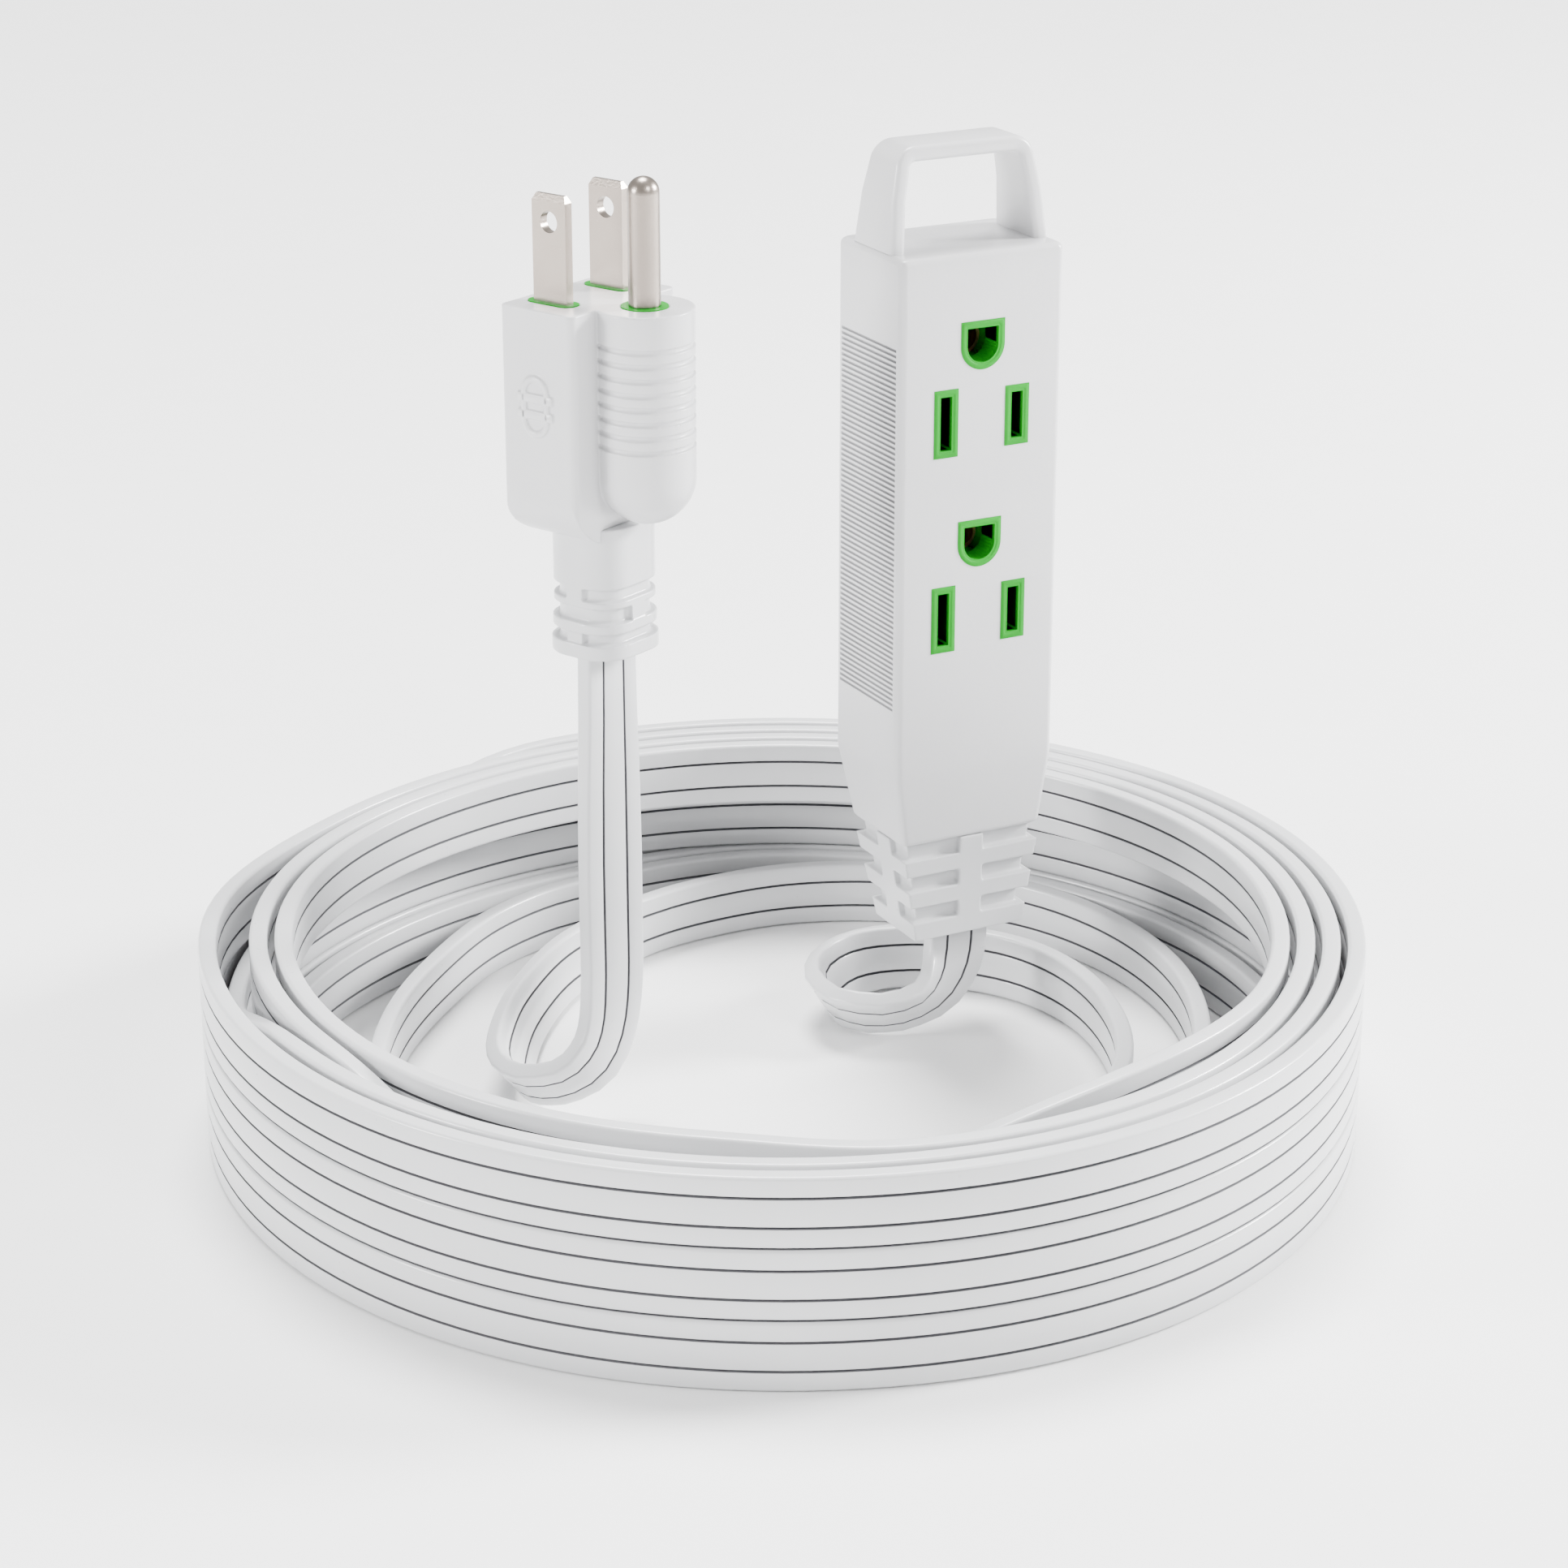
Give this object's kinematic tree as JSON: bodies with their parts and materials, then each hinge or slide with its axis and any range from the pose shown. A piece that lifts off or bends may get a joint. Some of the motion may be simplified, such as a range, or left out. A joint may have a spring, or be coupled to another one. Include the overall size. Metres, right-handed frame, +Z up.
{
  "type": "extension cord",
  "caption": "White flat indoor extension cord in a coil, with a grounded plug, an outlet block with a carry handle, and green rims round the openings.",
  "frame": {"origin": "middle of the coil, on the surface the coil lies on", "axes": "+Z up, along the plug's prongs; -Y is the way the block's outlets face; +X is to the right seen from the front"},
  "size_m": [0.182, 0.182, 0.1513],
  "materials": {
    "cord_jacket": "soft glossy PVC",
    "white_shell": "moulded satin gloss",
    "green_carrier": "moulded gloss",
    "nickel_plate": "nickel plated",
    "contact_metal": "bright",
    "neutral_wire": "white insulation",
    "line_wire": "black insulation",
    "ground_wire": "green insulation"
  },
  "bodies": {
    "root": {"cord_coil": "cord_jacket", "plug_lead": "cord_jacket", "outlet_lead": "cord_jacket", "outlet_body": "white_shell", "carry_handle": "white_shell", "outlet_strain_relief": "cord_jacket", "contact_carrier_front": "green_carrier", "contact_carrier_back": "green_carrier", "neutral_busbar": "contact_metal", "line_busbar": "contact_metal", "ground_busbar": "contact_metal", "upper_neutral_contact": "contact_metal", "lower_neutral_contact": "contact_metal", "upper_line_contact": "contact_metal", "lower_line_contact": "contact_metal", "upper_ground_contact": "contact_metal", "lower_ground_contact": "contact_metal", "outlet_neutral_crimp": "contact_metal", "outlet_line_crimp": "contact_metal", "outlet_ground_crimp": "contact_metal", "outlet_neutral_wire": "neutral_wire", "outlet_line_wire": "line_wire", "outlet_ground_wire": "ground_wire", "plug_body": "white_shell", "plug_bridge": "green_carrier", "plug_strain_relief": "cord_jacket", "plug_neutral_blade": "nickel_plate", "plug_line_blade": "nickel_plate", "plug_ground_pin": "nickel_plate", "plug_neutral_crimp": "contact_metal", "plug_line_crimp": "contact_metal", "plug_ground_crimp": "contact_metal", "plug_neutral_wire": "neutral_wire", "plug_line_wire": "line_wire", "plug_ground_wire": "ground_wire"}
  },
  "joints": []
}
